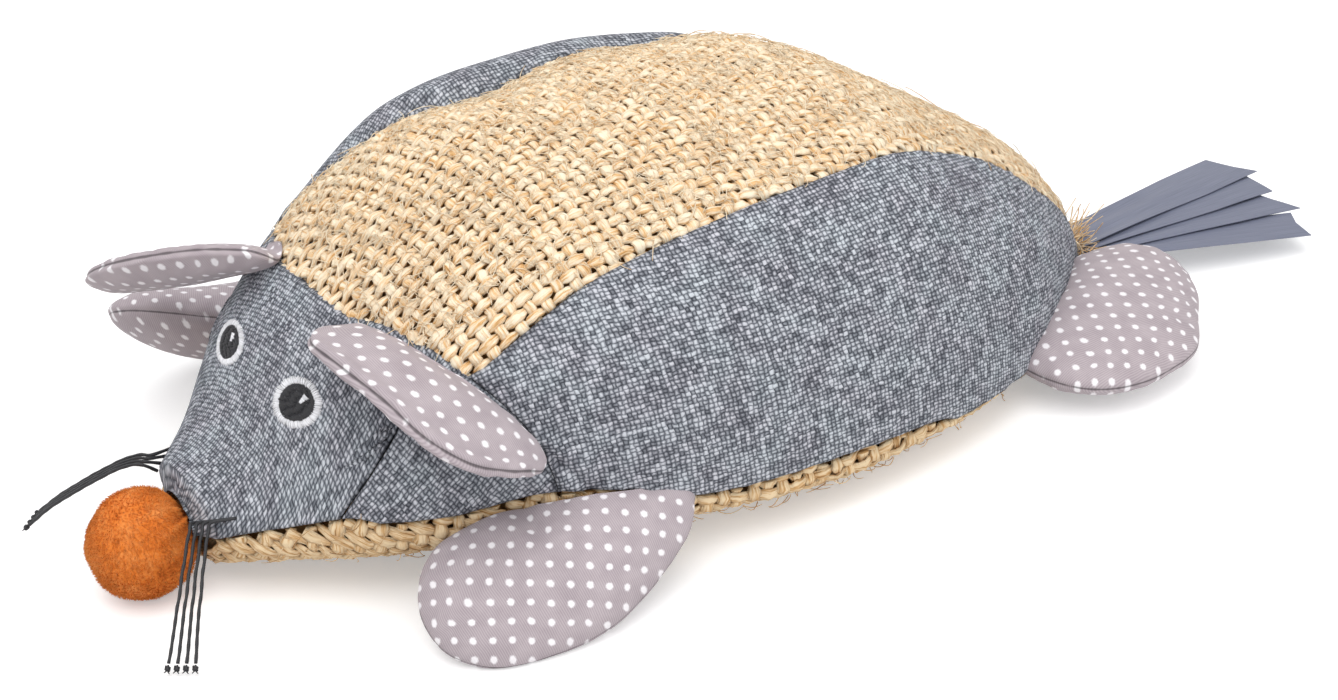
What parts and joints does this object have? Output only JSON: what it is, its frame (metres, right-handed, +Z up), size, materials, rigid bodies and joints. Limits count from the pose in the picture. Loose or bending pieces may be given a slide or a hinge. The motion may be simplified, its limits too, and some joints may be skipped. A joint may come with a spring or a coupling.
{
  "type": "stuffed toy mouse",
  "caption": "Stuffed cat toy shaped as a mouse, with a woven sisal back and belly, cloth head and flanks, padded ears and feet, a plush nose and a ribbon tail.",
  "frame": {"origin": "centre of the bounding box's base, on the surface that the toy lies on", "axes": "+Z up, nose towards -Y, tail towards +Y, the mouse's left side towards +X"},
  "size_m": [0.2254, 0.4277, 0.1101],
  "materials": {
    "grey_linen": "grey melange woven cloth, matt",
    "sisal_back": "coarse plain-woven sisal, straw colour",
    "sisal_belly": "coarse plain-woven sisal, browner",
    "dotted_cotton": "taupe cotton with small white dots",
    "orange_plush": "short-pile plush, orange",
    "ribbon_satin": "grey-blue satin ribbon",
    "black_thread": "black satin-stitch embroidery",
    "white_thread": "white satin-stitch embroidery",
    "waxed_cord": "black waxed cord",
    "filling": "polyester fibre filling"
  },
  "bodies": {
    "toy_body": {"body_filling": "filling", "head_filling": "filling", "back_sisal_panel": "sisal_back", "belly_sisal_panel": "sisal_belly", "left_flank_panel": "grey_linen", "right_flank_panel": "grey_linen", "head_panel": "grey_linen", "left_cheek_panel": "grey_linen", "right_cheek_panel": "grey_linen", "nose_ball": "orange_plush", "left_eye_ring": "white_thread", "left_eye_pupil": "black_thread", "left_eye_highlight": "white_thread", "right_eye_ring": "white_thread", "right_eye_pupil": "black_thread", "right_eye_highlight": "white_thread", "left_whisker_1": "waxed_cord", "left_whisker_knot_1": "waxed_cord", "left_whisker_2": "waxed_cord", "left_whisker_knot_2": "waxed_cord", "left_whisker_3": "waxed_cord", "left_whisker_knot_3": "waxed_cord", "left_whisker_4": "waxed_cord", "left_whisker_knot_4": "waxed_cord", "right_whisker_1": "waxed_cord", "right_whisker_knot_1": "waxed_cord", "right_whisker_2": "waxed_cord", "right_whisker_knot_2": "waxed_cord", "right_whisker_3": "waxed_cord", "right_whisker_knot_3": "waxed_cord", "right_whisker_4": "waxed_cord", "right_whisker_knot_4": "waxed_cord"},
    "left_ear": {"left_ear": "dotted_cotton"},
    "right_ear": {"right_ear": "dotted_cotton"},
    "left_front_foot": {"left_front_foot": "dotted_cotton"},
    "right_front_foot": {"right_front_foot": "dotted_cotton"},
    "left_rear_foot": {"left_rear_foot": "dotted_cotton"},
    "right_rear_foot": {"right_rear_foot": "dotted_cotton"},
    "tail": {"tail_ribbon_1": "ribbon_satin", "tail_ribbon_2": "ribbon_satin", "tail_ribbon_3": "ribbon_satin", "tail_ribbon_4": "ribbon_satin"}
  },
  "joints": [
    {"name": "left_ear_fold", "type": "hinge", "parent": "toy_body", "child": "left_ear", "pos_m": [0.02351, -0.13393, 0.074], "axis": [0.5088, -0.8548, 0.1018], "range_deg": [0, 40]},
    {"name": "right_ear_fold", "type": "hinge", "parent": "toy_body", "child": "right_ear", "pos_m": [-0.02049, -0.13343, 0.074], "axis": [-0.4504, 0.8408, -0.3003], "range_deg": [-25, 30], "stiffness_Nm_per_rad": 0.05, "springref_deg": 2.29},
    {"name": "left_front_foot_fold", "type": "hinge", "parent": "toy_body", "child": "left_front_foot", "pos_m": [0.07902, -0.09286, 0.02225], "axis": [-0.3923, -0.9187, 0.046], "range_deg": [0, 35]},
    {"name": "right_front_foot_fold", "type": "hinge", "parent": "toy_body", "child": "right_front_foot", "pos_m": [-0.078, -0.09286, 0.02225], "axis": [-0.3923, 0.9187, -0.046], "range_deg": [0, 27]},
    {"name": "left_rear_foot_fold", "type": "hinge", "parent": "toy_body", "child": "left_rear_foot", "pos_m": [0.07217, 0.07579, 0.015], "axis": [0.4935, -0.8688, -0.04], "range_deg": [0, 35]},
    {"name": "right_rear_foot_fold", "type": "hinge", "parent": "toy_body", "child": "right_rear_foot", "pos_m": [-0.03195, 0.07263, 0.015], "axis": [0.6217, 0.7822, 0.0401], "range_deg": [0, 35]},
    {"name": "tail_swing", "type": "hinge", "parent": "toy_body", "child": "tail", "pos_m": [0.03651, 0.11607, 0.0126], "axis": [1, 0, 0], "range_deg": [-3, 30], "stiffness_Nm_per_rad": 0.02, "springref_deg": 1.15}
  ]
}
